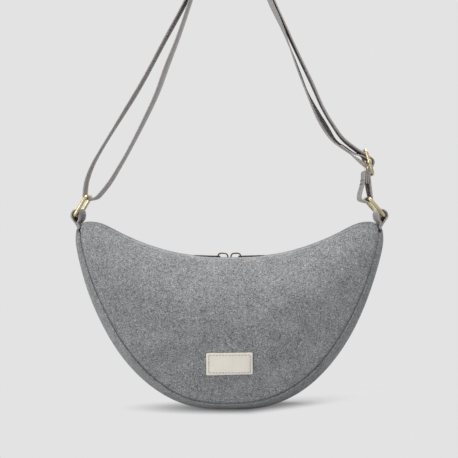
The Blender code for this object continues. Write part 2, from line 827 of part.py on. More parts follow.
def route_spot(x, z):
    """A point of the strap's route, which moves and spreads with the rings."""
    heads = (ring_head(1) + mirrored(ring_head(-1))) / 2
    drawn_x, drawn_z = ROUTE_RING_HEAD
    return spot(x * heads.x / drawn_x, heads.z + (z - drawn_z) * MM)


def adjuster_bar_point(place):
    """Centre of the adjuster's upper (1), middle (0) or lower (-1) bar."""
    up = spot(-math.sin(ADJUSTER_LEAN), math.cos(ADJUSTER_LEAN))
    return route_spot(*ADJUSTER_SPOT) + up * place * ADJUSTER_LENGTH / 2


def make_adjuster(parent):
    """A wire frame, and a middle bar whose ends are curled round the frame's side rods."""
    centre = adjuster_bar_point(0)
    line = rounded_rectangle(ADJUSTER_WIDTH, ADJUSTER_LENGTH, ADJUSTER_CORNER)
    mesh = wire_mesh("adjuster_frame", line, ADJUSTER_WIRE, True)
    make_part("adjuster_frame", mesh, RING_BRASS, parent, centre, -ADJUSTER_LEAN)
    mesh = rod_mesh("adjuster_bar", ADJUSTER_WIRE, ADJUSTER_WIDTH, "Y")
    bar = make_part("adjuster_bar", mesh, RING_BRASS, parent, centre, -ADJUSTER_LEAN)
    bore = ADJUSTER_WIRE + GAP
    for use, radius, length, operation in (
        ("eye", bore + EYE_WALL, EYE_LENGTH, "UNION"),
        ("bore", bore, EYE_LENGTH + 2 * EYE_WALL, "DIFFERENCE"),
    ):
        for hand in (-1, 1):
            label = f"adjuster_{use}_{'front' if hand < 0 else 'back'}"
            place = (0.0, hand * ADJUSTER_WIDTH / 2, 0.0)
            tool = make_cutter(label, rod_mesh(label, radius, length, "Z", place, 20), bar)
            combine(bar, tool, operation)


# Webbing

def webbing_mesh(name, line):
    """A flat band across Y along a line in the front view."""
    half = Vector((0.0, WEBBING_WIDTH / 2, 0.0))
    return grid_mesh(name, [[point - half for point in line], [point + half for point in line]])


def heading(a, radius_a, b, radius_b):
    """Direction of the line that leaves one stop and meets the next, touching both circles.

    A stop's radius is positive where the webbing turns left round it, negative to the right,
    and zero at a plain point.
    """
    run = b - a
    return math.atan2(run.z, run.x) - math.asin((radius_b - radius_a) / run.length)


def threaded_line(stops):
    """Points of a band that runs through plain points and round bars."""
    headings = [
        heading(a, ra, b, rb) for (a, ra), (b, rb) in zip(stops, stops[1:])
    ]
    points = [stops[0][0]]
    for (centre, radius), arriving, leaving in zip(stops[1:], headings, headings[1:]):
        if radius == 0:
            points.append(centre)
            continue
        turn = leaving - arriving
        if radius > 0:
            turn %= 2 * math.pi
        else:
            turn = -((-turn) % (2 * math.pi))
        pieces = max(1, math.ceil(abs(turn) / WRAP_STEP))
        for i in range(pieces + 1):
            angle = arriving + turn * i / pieces
            points.append(centre + spot(math.sin(angle), -math.cos(angle)) * radius)
    return [*points, stops[-1][0]]


def free(points):
    """Plain stops from a run of the strap's route."""
    return [(route_spot(x, z), 0.0) for x, z in points]


def strap_line():
    """The whole strap: sewn end, right ring, adjuster, outer run, left ring, inner run, fold."""
    first = ADJUSTER_WIRE + GAP + WEBBING / 2
    over_fold = first + WEBBING + GAP
    round_ring = RING_WIRE + RING_LOOP_PLAY + WEBBING / 2
    stops = [
        *free(SEWN_END),
        (ring_head(1), round_ring),
        (adjuster_bar_point(-1), -first),
        (adjuster_bar_point(0), over_fold),
        (adjuster_bar_point(1), -first),
        *free(OUTER_RIGHT), *free(OUTER_APEX), *free(OUTER_LEFT),
        (ring_head(-1), round_ring),
        *free(INNER_LEFT), *free(INNER_APEX), *free(INNER_RIGHT),
        (adjuster_bar_point(0), first),
        *free(FOLDED_END),
    ]
    return smooth_line(threaded_line(stops), STRAP_STEP)


def tab_line(side):
    """From inside the horn, out through its slot, round the ring's foot and back in."""
    root = horn_root()
    outward = spot(math.sin(TAB_LEAN), math.cos(TAB_LEAN))
    across = spot(-outward.z, outward.x)
    leg = across * (WEBBING + GAP) / 2
    neck = across * ((WEBBING + GAP) / 2 + TAB_NECK_RADIUS)
    mouth = root + outward * TAB_NECK_RISE
    foot = root - outward * TAB_INSIDE_LENGTH
    line = threaded_line([
        (foot - leg, 0.0),
        (mouth - neck, -TAB_NECK_RADIUS),
        (tab_loop_centre(), TAB_LOOP_RADIUS),
        (mouth + neck, -TAB_NECK_RADIUS),
        (foot + leg, 0.0),
    ])
    return line if side > 0 else [mirrored(point) for point in line]


def make_strap_and_rings():
    """Everything that swings with the strap, each piece on its joint's axis."""
    swing = make_axis("axis_strap_swing", spot(0.0, SIDE_HEIGHT))
    for name, side in (("tab_left", -1), ("tab_right", 1)):
        tab = make_part(name, webbing_mesh(name, tab_line(side)), WEBBING_GREY, swing)
        solidify(tab, WEBBING, 0.0)
    for name, side in (("left", -1), ("right", 1)):
        foot = make_axis("axis_ring_" + name, ring_foot(side), swing)
        mesh = ring_mesh("ring_" + name)
        make_part("ring_" + name, mesh, RING_BRASS, foot, ring_foot(side), ring_lean(side))
    sway = make_axis("axis_strap_sway", sway_centre(), swing)
    strap = make_part("strap", webbing_mesh("strap", strap_line()), WEBBING_GREY, sway)
    solidify(strap, WEBBING, 0.0)
    make_adjuster(sway)


def main():
    empty_scene()
    make_collection("belt_bag")
    make_collection("cutters")
    lines = bag_lines()
    make_shell(lines)
    make_lining(lines)
    make_label()
    make_zip(lines)
    make_strap_and_rings()


main()
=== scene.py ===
"""A felt belt bag with a webbing strap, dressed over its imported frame."""
import json
import math

import bmesh
import bpy
from bpy.props import FloatProperty, FloatVectorProperty, IntProperty, PointerProperty
from mathutils import Matrix, Vector, noise
from mathutils.bvhtree import BVHTree


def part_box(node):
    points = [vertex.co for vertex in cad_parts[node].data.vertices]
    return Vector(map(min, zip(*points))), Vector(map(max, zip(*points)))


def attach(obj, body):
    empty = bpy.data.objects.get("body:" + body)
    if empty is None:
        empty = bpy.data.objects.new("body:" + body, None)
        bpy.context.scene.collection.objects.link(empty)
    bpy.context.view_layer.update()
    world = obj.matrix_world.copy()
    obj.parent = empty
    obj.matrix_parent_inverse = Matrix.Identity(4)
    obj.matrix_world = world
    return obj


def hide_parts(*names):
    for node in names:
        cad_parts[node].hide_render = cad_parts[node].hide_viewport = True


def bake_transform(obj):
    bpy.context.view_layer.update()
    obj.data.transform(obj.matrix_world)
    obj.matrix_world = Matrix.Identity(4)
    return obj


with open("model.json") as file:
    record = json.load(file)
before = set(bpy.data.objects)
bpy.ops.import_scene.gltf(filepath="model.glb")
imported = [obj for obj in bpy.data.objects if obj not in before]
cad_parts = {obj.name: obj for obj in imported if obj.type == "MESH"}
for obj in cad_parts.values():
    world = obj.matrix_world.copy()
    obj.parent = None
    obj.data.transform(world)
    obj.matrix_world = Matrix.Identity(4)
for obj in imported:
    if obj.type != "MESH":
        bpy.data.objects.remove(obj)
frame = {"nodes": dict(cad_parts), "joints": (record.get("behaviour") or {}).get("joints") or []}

bl_info = {
    "name": "Felt belt bag",
    "version": (1, 0, 0),
    "blender": (4, 5, 0),
    "location": "3D View > Sidebar > Belt bag",
    "description": "Builds the pieces of a felt belt bag over its frame",
    "category": "Object",
}

MM = 0.001
WELD = 0.00001
SUBDIVISIONS = 2
SHEET_EDGE = math.radians(42.0)
CAST_EDGE = math.radians(50.0)
SIDES = ("left", "right")
SIDEWAYS = Vector((0.0, 1.0, 0.0))
BAG_INSIDE = Vector((0.0, 0.0, 0.11))
UNDER_ZIP = Vector((0.0, 0.0, 0.08))
JOINTS = {joint["name"]: joint for joint in frame["joints"]}
ZIP_CENTRE = Vector(JOINTS["slider_left_travel"]["pos_m"])
ZIP_LOWEST = 157.0 * MM
ZIP_RADIUS = ZIP_CENTRE.z - ZIP_LOWEST
TAB_ROOT = JOINTS["strap_swing"]["deforming_nodes"][0]["fixed_end_z_m"]
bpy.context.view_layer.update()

# Where the free strap turns or sways off its line: the place and the reach along it in
# metres, the turn in degrees and the sway in metres.
STRAP_BENDS = (
    (0.062, 0.022, 2.5, -0.6 * MM),
    (0.143, 0.060, -2.5, -1.2 * MM),
    (0.225, 0.120, -2.5, -0.4 * MM),
    (0.560, 0.160, -2.0, -1.0 * MM),
    (0.655, 0.065, -4.0, 0.0),
    (0.790, 0.055, 2.0, 0.0),
    (0.880, 0.040, -2.2, -0.5 * MM),
    (1.225, 0.085, 10.3, -0.8 * MM),
    (1.290, 0.055, 18.5, -2.6 * MM),
    (1.330, 0.030, 4.0, 0.0),
    (1.385, 0.035, -11.0, 0.0),
)

# Where the felt's soft forms start and end, below the zip's line or out from its middle.
CREST_BELOW = (30 * MM, 0.0)
CREST_OUT = (2.7 * MM, 11.7 * MM)
LEAN_OUT = (8 * MM, 16 * MM)
UNDULATION_BELOW = (6 * MM, 51 * MM)
SEAM_BELOW_ZIP = 14 * MM
SEAM_BELOW_TABS = (TAB_ROOT, TAB_ROOT - 30 * MM)

# Where stitches start: the label's as a share of their pitch and seen from in front, the
# strap's in two rows above the lower end of the sewn part, counted from a row's middle.
LABEL_STITCH_START = 0.15
IN_FRONT = -0.2
SEWN_ROWS = (1.5 * MM, 4.5 * MM)
MIDDLE_STITCH = 4.3
THREAD_SIDES = 6

# The floor's shadow is an oval along X. On the right it is drawn out and runs back.
SHADOW_NARROWING = 2.6
SHADOW_BEND = 20 * MM
SHADOW_STRETCH = 0.45
SHADOW_SLOPE = 0.60


def box_size(node):
    low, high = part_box(node)
    return high - low


def box_centre(node):
    low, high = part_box(node)
    return (low + high) / 2


# Settings

def number(name, description, default, **more):
    return FloatProperty(name=name, description=description, default=default, min=0.0, **more)


def whole(name, description, default, low=0):
    return IntProperty(name=name, description=description, default=default, min=low)


def numbers(name, description, default, **more):
    return FloatVectorProperty(name=name, description=description, default=default, **more)


def length(*basics):
    return number(*basics, unit="LENGTH", precision=5)


def fraction(*basics):
    return number(*basics, max=1.0, subtype="FACTOR")


def colour(*basics):
    return numbers(*basics, min=0.0, max=1.0, subtype="COLOR")


def position(*basics):
    return numbers(*basics, subtype="TRANSLATION")


class FeltSettings(bpy.types.PropertyGroup):
    thickness: length("Thickness", "Thickness of the felt", 1.9 * MM)
    crest: length("Crest", "How far the rims rise at the middle", 1.5 * MM)
    crest_reach: length("Crest reach", "How far along the zip the rims rise", 75.0 * MM)
    seam_band: length("Seam band", "Width of the felt drawn in at a seam", 2.6 * MM)
    seam_dip: length("Seam dip", "How far a seam draws the felt in", 0.9 * MM)
    seam_reach: length("Seam reach", "How far an edge reaches into its seam", 1.7 * MM)
    seam_depth: length("Seam depth", "How deep an edge turns in", 1.7 * MM)
    lean: length("Lean", "How far the rims lean in", 5.6 * MM)
    lean_reach: length("Lean reach", "How far below the zip the rims lean in", 46.0 * MM)
    sag: length("Sag", "Largest undulation", 1.1 * MM)
    sag_span: length("Sag span", "From one undulation to the next", 55.0 * MM)
    seed: whole("Seed", "Picks the undulations", 12, 1)
    dark: colour("Dark wool", "Darkest wool fibres", (0.076, 0.085, 0.095))
    middle: colour("Middle wool", "Main grey of the wool", (0.231, 0.236, 0.239))
    light: colour("Light wool", "Palest wool fibres", (0.500, 0.498, 0.480))


class LiningSettings(bpy.types.PropertyGroup):
    thickness: length("Thickness", "Thickness of the lining", 0.6 * MM)
    cloth: colour("Cloth", "Colour of the lining", (0.120, 0.125, 0.130))


class LabelSettings(bpy.types.PropertyGroup):
    thickness: length("Thickness", "Thickness of the label", 0.7 * MM)
    stitch_inset: length("Stitch inset", "From the stitches to the edge", 2.3 * MM)
    stitch_pitch: length("Stitch pitch", "From one stitch to the next", 3.3 * MM)
    stitch_share: fraction("Stitch share", "Share of the pitch", 0.60)
    thread: length("Thread", "Radius of the label's thread", 0.30 * MM)
    cloth: colour("Cloth", "Colour of the bare label", (0.780, 0.742, 0.660))
    thread_colour: colour("Thread colour", "Colour of the label's thread", (0.430, 0.350, 0.280))


class WebbingSettings(bpy.types.PropertyGroup):
    thickness: length("Thickness", "Thickness of the strap", 1.5 * MM)
    tab_thickness: length("Tab thickness", "Thickness of the tabs", 1.75 * MM)
    tab_step: length("Tab step", "Length of a section of a tab", 1.2 * MM)
    tab_pinch: fraction("Tab pinch", "How far the inner leg is drawn in", 0.32)
    tab_close: fraction("Tab closeness", "How far it is drawn in at the neck", 0.45)
    tab_turn: number("Tab turn", "Turn of a tab's loop", math.radians(4.5), subtype="ANGLE")
    tab_neck: length("Tab neck", "Height of the tab's neck", 9.0 * MM)
    tab_free: length("Tab's free end", "Part below a ring's bar that follows it", 4.5 * MM)
    sewn_low: length("Sewn from", "Where the loop's legs start to meet", 212.0 * MM)
    sewn_high: length("Sewn to", "Where the loop's legs lie together", 256.0 * MM)
    sewn_layers: whole("Sewn layers", "Folded layers between the loop's legs", 2)
    sewn_length: length("Sewn length", "Length of the sewn part", 15.0 * MM)
    stitches: whole("Stitches", "Stitches in one row across the loop", 9)
    stitch_pitch: length("Stitch pitch", "From one stitch to the next", 2.9 * MM)
    stitch_length: length("Stitch length", "Length of a stitch", 1.9 * MM)
    thread_radius: length("Thread radius", "Radius of the sewing thread", 0.35 * MM)
    step: length("Step", "Length of a section of webbing", 2.5 * MM)
    edge_sides: whole("Edge sides", "Faces round both edges", 12, 4)
    dark: colour("Dark yarn", "Yarn in the hollows of the weave", (0.292, 0.274, 0.266))
    light: colour("Light yarn", "Yarn on top of the weave", (0.405, 0.383, 0.372))
    thread: colour("Thread", "Sewing thread", (0.120, 0.112, 0.108))


class BrassSettings(bpy.types.PropertyGroup):
    ring_wire: length("Ring wire", "Radius of the rings' wire", 1.95 * MM)
    adjuster_wire: length("Adjuster wire", "Radius of the adjuster's wire", 1.6 * MM)
    ring_corner: length("Ring corner", "Bend radius of the rings", 3.4 * MM)
    adjuster_corner: length("Adjuster corner", "Bend radius of the frame", 4.2 * MM)
    eye: length("Eye", "Thickness of the bar's eyes", 0.9 * MM)
    eye_width: length("Eye width", "Width of the bar's eyes", 3.6 * MM)
    eye_edge: length("Eye edge", "Bevel of the eyes' edges", 0.5 * MM)
    sides: whole("Sides", "Faces round a wire", 16, 8)
    brass: colour("Brass", "Pale antique brass", (0.600, 0.515, 0.300))
    tarnish: colour("Tarnish", "Darkened brass in the hollows", (0.420, 0.355, 0.205))


class ZipSettings(bpy.types.PropertyGroup):
    tooth_pitch: length("Tooth pitch", "From tooth to tooth on one tape", 2.6 * MM)
    tooth_length: length("Tooth length", "Length of a tooth", 1.25 * MM)
    tooth_reach: length("Tooth reach", "How far a tooth passes the middle", 0.45 * MM)
    tooth_height: length("Tooth height", "Height of a tooth", 2.4 * MM)
    tooth_edge: length("Tooth edge", "Bevel of a tooth's edges", 0.32 * MM)
    row_margin: length("Row margin", "Bare tape at each end of a row", 0.8 * MM)
    tape_thickness: length("Tape thickness", "Thickness of the woven tape", 0.5 * MM)
    edge: length("Edge", "Rounding of the cast edges", 0.22 * MM)
    bronze: colour("Bronze", "Dark bronze of the zip", (0.036, 0.027, 0.019))
    bright: colour("Worn bronze", "Bronze rubbed bright", (0.125, 0.094, 0.062))
    tape: colour("Tape", "Colour of the zip tape", (0.150, 0.148, 0.146))


class StageSettings(bpy.types.PropertyGroup):
    camera_place: position("Camera", "Place of the camera", (-0.0004, -1.0, 0.191))
    lens: number("Lens", "Focal length", 73.46, unit="CAMERA")
    backdrop: colour("Backdrop", "Backdrop and far floor", (0.768, 0.768, 0.772))
    ground: colour("Ground", "Floor that takes the shadow", (0.480, 0.480, 0.484))
    world_strength: number("World strength", "Light from all round", 0.325)
    aim: position("Aim", "Where the lamps point", (0.0, 0.0, 0.15))
    key_place: position("Key place", "Soft lamp at the left", (-1.15, -0.80, 0.30))
    key_size: length("Key size", "Width of the lamp at the left", 1.0)
    key_power: number("Key power", "Power of the lamp at the left", 12.5, unit="POWER")
    top_place: position("Top place", "Soft lamp overhead", (0.24, -0.04, 1.70))
    top_size: length("Top size", "Width of the lamp overhead", 1.3)
    top_power: number("Top power", "Power of the lamp overhead", 49.5, unit="POWER")
    shadow_near: length("Shadow near", "Where the shadow starts to fade", 20 * MM)
    shadow_far: length("Shadow far", "Where the shadow has faded", 125 * MM)
    floor_glow: fraction("Floor glow", "Backdrop's share under the bag", 0.15)


GROUPS = {
    "bag_felt": FeltSettings,
    "bag_lining": LiningSettings,
    "bag_label": LabelSettings,
    "bag_webbing": WebbingSettings,
    "bag_brass": BrassSettings,
    "bag_zip": ZipSettings,
    "bag_stage": StageSettings,
}


# Materials

class Signal:
    """A shader value that can be used in arithmetic."""

    def __init__(self, finish, socket):
        self.finish = finish
        self.socket = socket

    def maths(self, operation, *values):
        return self.finish.node("ShaderNodeMath", {"operation": operation}, *values)

    def __add__(self, other):
        return self.maths("ADD", self, other)

    def __radd__(self, other):
        return self.maths("ADD", other, self)

    def __sub__(self, other):
        return self.maths("SUBTRACT", self, other)

    def __rsub__(self, other):
        return self.maths("SUBTRACT", other, self)

    def __mul__(self, other):
        return self.maths("MULTIPLY", self, other)

    def __rmul__(self, other):
        return self.maths("MULTIPLY", other, self)

    def __pow__(self, other):
        return self.maths("POWER", self, other)

    def wave(self, pitch):
        """Rises and falls between 0 and 1 once in every pitch."""
        return self.maths("SINE", self * (2 * math.pi / pitch)) * 0.5 + 0.5

    def bounce(self, span):
        return self.maths("PINGPONG", self, span)

    def larger(self, other):
        return self.maths("MAXIMUM", self, other)

    def ramp(self, start, end):
        """0 below start, 1 above end, and a smooth rise between them."""
        settings = {"interpolation_type": "SMOOTHSTEP"}
        return self.finish.node("ShaderNodeMapRange", settings, self, start, end)


class Nodes:
    """A node tree that is put together node by node."""

    def __init__(self, tree, output):
        self.tree = tree
        tree.nodes.clear()
        self.output = tree.nodes.new(output)

    def show(self, shader):
        self.tree.links.new(shader.socket, self.output.inputs["Surface"])

    def seen(self):
        """1 for rays from the camera, a mirror or glass, 0 for rays that carry light."""
        path = self.node("ShaderNodeLightPath", {}).socket.node.outputs
        camera, glossy, glass = (
            Signal(self, path[f"Is {kind} Ray"]) for kind in ("Camera", "Glossy", "Transmission")
        )
        return camera.larger(glossy).larger(glass)

    def node(self, kind, settings, *values, output=0, **named):
        """Makes a node: its settings first, then the values or links of its open sockets."""
        made = self.tree.nodes.new(kind)
        for name, value in settings.items():
            setattr(made, name, value)
        sockets = [socket for socket in made.inputs if socket.enabled]
        names = {socket.name.replace(" ", "_"): socket for socket in reversed(sockets)}
        pairs = [*zip(sockets, values), *((names[name], value) for name, value in named.items())]
        for socket, value in pairs:
            if isinstance(value, Signal):
                self.tree.links.new(value.socket, socket)
            else:
                socket.default_value = value
        return Signal(self, [socket for socket in made.outputs if socket.enabled][output])


class Finish(Nodes):
    """A procedural material."""

    def __init__(self, name, **constants):
        self.material = bpy.data.materials.new(name)
        self.material.use_nodes = True
        super().__init__(self.material.node_tree, "ShaderNodeOutputMaterial")
        self.shader = self.node("ShaderNodeBsdfPrincipled", {}, **constants)
        self.show(self.shader)

    def filled(self, **links):
        """The material, once values that change over the surface are linked to its shader."""
        inputs = self.shader.socket.node.inputs
        for name, value in links.items():
            self.tree.links.new(value.socket, inputs[name.replace("_", " ")])
        return self.material

    def place(self):
        return self.node("ShaderNodeTexCoord", {}, output=3)

    def run(self):
        """Across and along a band, in metres, from the piece's own attribute."""
        return self.node("ShaderNodeAttribute", {"attribute_name": "run"}, output=1)

    def turned(self, vector, turn, scale):
        return self.node("ShaderNodeMapping", {}, vector, Rotation=turn, Scale=scale)

    def parts(self, vector):
        split = self.node("ShaderNodeSeparateXYZ", {}, vector).socket.node
        return [Signal(self, socket) for socket in split.outputs]

    def noise(self, vector, grain, detail=2.0, roughness=0.5):
        """Cloudy values whose grain is this many metres across."""
        return self.node(
            "ShaderNodeTexNoise", {}, vector, Scale=1 / grain, Detail=detail, Roughness=roughness
        )

    def mix(self, factor, first, second):
        """Blends two colours."""
        first, second = (
            value if isinstance(value, Signal) else (*value[:3], 1.0) for value in (first, second)
        )
        return self.node("ShaderNodeMix", {"data_type": "RGBA"}, factor, first, second)

    def bump(self, height, distance, strength=1.0):
        return self.node("ShaderNodeBump", {}, Strength=strength, Distance=distance, Height=height)


def felt_finish(settings):
    """Mottled wool felt: short pale and dark fibres in every direction, with painted shade along
    the seams.
    """
    finish = Finish(
        "mottled_grey_felt", Sheen_Weight=0.20, Sheen_Roughness=0.45,
        Sheen_Tint=(0.88, 0.89, 0.90, 1.0), Specular_IOR_Level=0.15,
    )
    place = finish.place()
    clouds = finish.noise(place, 16.0 * MM, 3.0, 0.55)
    tufts = finish.noise(place, 3.4 * MM, 3.0, 0.65)
    flecks = finish.noise(place, 1.10 * MM, 2.0, 0.70)
    lays = []
    for tilt, turn in ((0.0, 0.45), (0.35, 1.35), (0.70, 2.45)):
        lying = finish.turned(place, (tilt, turn, 0.2), (0.20, 1.0, 1.0))
        lays.append(finish.noise(lying, 0.42 * MM, 2.0, 0.6))
    fibres = lays[0].larger(lays[1]).larger(lays[2])
    seam = finish.node("ShaderNodeAttribute", {"attribute_name": "seam"}, output=2)
    # Painted shade: the felt is darkened along its seams, where the creases fall in shade.
    painted_seam_shade = (seam + (tufts - 0.5) * 0.4).ramp(0.60, 1.0)
    tone = clouds * 0.11 + tufts * 0.19 + flecks * 0.74 + fibres * 0.18
    dark = finish.mix(tone.ramp(0.485, 0.650), settings.dark, settings.middle)
    wool = finish.mix(tone.ramp(0.632, 0.845), dark, settings.light)
    # Painted shade: the seam mask mixes the darkest wool colour into the felt.
    felt = finish.mix(painted_seam_shade * 0.35, wool, settings.dark)
    height = fibres * 0.6 + flecks * 0.7 + tufts * 0.5
    return finish.filled(
        Base_Color=felt,
        Roughness=0.86 + flecks * 0.12,
        Normal=finish.bump(height, 0.55 * MM, 0.60),
    )


def webbing_finish(name, settings):
    """Fine herringbone webbing whose weave follows the band."""
    finish = Finish(name, Sheen_Weight=0.15, Sheen_Roughness=0.4, Specular_IOR_Level=0.35)
    across, along, _ = finish.parts(finish.run())
    slant = (across + 1.0).bounce(3.7 * MM)
    twill = (along + slant).wave(1.9 * MM)
    ribs = across.wave(0.95 * MM)
    wear = finish.noise(finish.place(), 7.0 * MM, 3.0, 0.6)
    fuzz = finish.noise(finish.place(), 0.7 * MM, 2.0, 0.6)
    weave = twill * 0.14 + ribs * 0.16 + fuzz * 0.12
    tone = weave + (wear - 0.5) * 0.25
    yarn = finish.mix(tone.ramp(-0.05, 0.55), settings.dark, settings.light)
    return finish.filled(
        Base_Color=yarn,
        Roughness=0.72 + fuzz * 0.2,
        Normal=finish.bump(weave, 0.07 * MM, 0.35),
    )


def thread_finish(name, shade):
    """Twisted sewing thread."""
    finish = Finish(name, Sheen_Weight=0.2, Specular_IOR_Level=0.4)
    x, y, z = finish.parts(finish.place())
    ply = (x + y * 0.6 + z).wave(0.55 * MM)
    darker = [part * 0.55 for part in shade]
    return finish.filled(
        Base_Color=finish.mix(ply, darker, shade),
        Roughness=0.6 + ply * 0.15,
        Normal=finish.bump(ply, 0.12 * MM, 0.6),
    )


def cloth_finish(name, shade, thread):
    """Plain weave: threads over and under each other, seen from the front and from above."""
    finish = Finish(name, Sheen_Weight=0.12, Specular_IOR_Level=0.3)
    x, y, z = finish.parts(finish.place())
    warp = x.wave(thread)
    weft = (z + y).wave(thread)
    slub = finish.noise(finish.place(), 1.4 * MM, 3.0, 0.6)
    wear = finish.noise(finish.place(), 14.0 * MM, 3.0, 0.55)
    weave = warp * weft + (1 - warp) * (1 - weft)
    tone = weave * 0.5 + slub * 0.35 + wear * 0.35
    darker = [part * 0.84 for part in shade]
    lighter = [min(1.0, part * 1.08) for part in shade]
    return finish.filled(
        Base_Color=finish.mix(tone.ramp(0.15, 0.95), darker, lighter),
        Roughness=0.78 + slub * 0.15,
        Normal=finish.bump(weave + slub * 0.4, 0.12 * MM, 0.6),
    )


def metal_finish(name, shade, tarnish, polish, grain):
    """Metal with soft tarnish in patches, fine pits and a faintly brushed skin."""
    finish = Finish(name, Metallic=1.0)
    place = finish.place()
    patches = finish.noise(place, grain, 2.0, 0.5)
    pits = finish.noise(place, grain * 0.12, 2.0, 0.7)
    brushed = finish.noise(finish.turned(place, (0.3, 0.5, 0.0), (1.0, 0.1, 1.0)), 0.4 * MM)
    dull = (patches * 0.90 + pits * 0.10).ramp(0.42, 0.72)
    return finish.filled(
        Base_Color=finish.mix(dull, shade, tarnish),
        Roughness=polish + dull * 0.14 + brushed * 0.04,
        Normal=finish.bump(brushed * 0.4 + pits * 0.6, 0.006 * MM, 0.30),
    )


# Shapes

def new_object(name, data):
    item = bpy.data.objects.new(name, data)
    bpy.context.scene.collection.objects.link(item)
    return item


def mesh_object(name, bm, material):
    mesh = bpy.data.meshes.new(name)
    bm.to_mesh(mesh)
    bm.free()
    mesh.materials.append(material)
    return new_object(name, mesh)


def new_piece(name, bm, material, body, slot, *nodes):
    """Turns a bmesh into a piece that rides on its body, if it has one, in place of CAD nodes."""
    piece = mesh_object(name, bm, material)
    piece.data.shade_smooth()
    if body:
        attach(piece, body)
    if nodes:
        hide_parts(*nodes)
    return piece


def thicken(piece, thickness, levels=SUBDIVISIONS):
    """Gives a sheet its wall and a smooth surface."""
    wall = piece.modifiers.new("Solidify", "SOLIDIFY")
    wall.thickness = thickness
    wall.offset = -1.0
    smooth = piece.modifiers.new("Subsurf", "SUBSURF")
    smooth.levels = smooth.render_levels = levels


def node_copy(node):
    """A joined-up copy of a CAD node's loose triangles."""
    bm = bmesh.new()
    bm.from_mesh(frame["nodes"][node].data)
    bmesh.ops.remove_doubles(bm, verts=bm.verts, dist=WELD)
    for face in bm.faces:
        face.material_index = 0
    return bm


def squared(bm):
    """Joins pairs of triangles into quads."""
    bmesh.ops.join_triangles(
        bm, faces=bm.faces, angle_face_threshold=math.radians(40.0),
        angle_shape_threshold=math.radians(80.0),
    )
    return bm


def outer_skin(node, inside):
    """The face of a sheet-like CAD node that points away from the bag's inside."""
    bm = squared(node_copy(node))
    first = max(bm.faces, key=lambda face: face.calc_area() * face.normal.dot(
        (face.calc_center_median() - inside).normalized()))
    kept = {first}
    front = [first]
    while front:
        face = front.pop()
        for edge in face.edges:
            for other in edge.link_faces:
                if other not in kept and edge.calc_face_angle(math.pi) < SHEET_EDGE:
                    kept.add(other)
                    front.append(other)
    rest = [face for face in bm.faces if face not in kept]
    bmesh.ops.delete(bm, geom=rest, context="FACES")
    return bm


def draw_in_border(bm, band, dip):
    """Draws a sheet in along its border, as a seam does, but not along the zip."""
    # The seam weight draws the felt in and also sets where the felt's material paints shade along
    # the seams.
    seam = bm.verts.layers.float.new("seam")
    bmesh.ops.inset_region(
        bm, faces=bm.faces, thickness=band, use_boundary=True, use_even_offset=True
    )
    bm.normal_update()
    drawn = {
        vert: vert.normal * dip for vert in bm.verts
        if vert.is_boundary and zip_height(vert.co) - vert.co.z > SEAM_BELOW_ZIP
    }
    for vert, shift in drawn.items():
        vert[seam] = swell(vert.co.z, *SEAM_BELOW_TABS)
        vert.co = vert.co - shift * vert[seam]


def turn_in_edges(bm, turns):
    """Rolls a sheet's open edges on and inwards; each turn is (reach on, depth in)."""
    reach = {}
    inward = {vert: -vert.normal for vert in bm.verts}
    for edge in bm.edges:
        if not edge.is_boundary:
            continue
        middle = (edge.verts[0].co + edge.verts[1].co) / 2
        along = (edge.verts[1].co - edge.verts[0].co).normalized()
        away = middle - edge.link_faces[0].calc_center_median()
        away -= along * away.dot(along)
        for vert in edge.verts:
            reach[vert] = reach.get(vert, Vector()) + away.normalized()
    for out, down in turns:
        border = [edge for edge in bm.edges if edge.is_boundary]
        made = bmesh.ops.extrude_edge_only(bm, edges=border)["geom"]
        fresh = {part for part in made if isinstance(part, bmesh.types.BMVert)}
        for vert in fresh:
            near = next(
                edge.other_vert(vert) for edge in vert.link_edges
                if edge.other_vert(vert) not in fresh
            )
            reach[vert] = reach[near]
            inward[vert] = inward[near]
            vert.co = vert.co + reach[near].normalized() * out + inward[near] * down
    bmesh.ops.recalc_face_normals(bm, faces=bm.faces)


def zip_height(point):
    """Height of the zip's line above or below a point of the bag."""
    reach = min(abs(point.x), ZIP_RADIUS * 0.98)
    return ZIP_CENTRE.z - math.sqrt(ZIP_RADIUS ** 2 - reach ** 2)


def swell(value, start, end):
    """0 at start and before it, 1 at end and after it, and a smooth rise between them."""
    way = min(1.0, max(0.0, (value - start) / (end - start)))
    return way * way * (3 - 2 * way)


def soften(bm, settings):
    """Moves a mesh with the felt: soft undulations, and rims that rise beside the zip."""
    noise.seed_set(settings.seed)
    for vert in bm.verts:
        below = zip_height(vert.co) - vert.co.z
        wander = noise.noise_vector(vert.co / settings.sag_span) * settings.sag
        out = abs(vert.co.y)
        crest = swell(abs(vert.co.x), settings.crest_reach, 0.0) * swell(below, *CREST_BELOW)
        rise = crest * swell(out, *CREST_OUT) * settings.crest
        lean = settings.lean * max(0.0, 1 - below / settings.lean_reach) ** 2
        lean *= swell(out, *LEAN_OUT)
        vert.co = vert.co + wander * swell(below, *UNDULATION_BELOW)
        vert.co.z += rise
        vert.co.y -= math.copysign(lean, vert.co.y)


def sweep(bm, ring, stations, attribute=None):
    """Pushes a loop of edges through a run of stations, noting the way along if asked."""
    travelled = 0.0
    for before, after in zip(stations, stations[1:]):
        travelled += (after.translation - before.translation).length
        made = bmesh.ops.extrude_edge_only(bm, edges=ring)["geom"]
        verts = [part for part in made if isinstance(part, bmesh.types.BMVert)]
        ring = [
            part for part in made if isinstance(part, bmesh.types.BMEdge) and part.is_boundary
        ]
        bmesh.ops.transform(bm, matrix=after @ before.inverted(), verts=verts)
        if attribute:
            for vert in verts:
                vert[attribute] = Vector((vert[attribute].x, travelled, 0.0))


def bevelled(bm, edges, width, segments):
    bmesh.ops.bevel(
        bm, geom=edges, offset=width, segments=segments, profile=0.5, affect="EDGES", material=-1,
        clamp_overlap=True,
    )


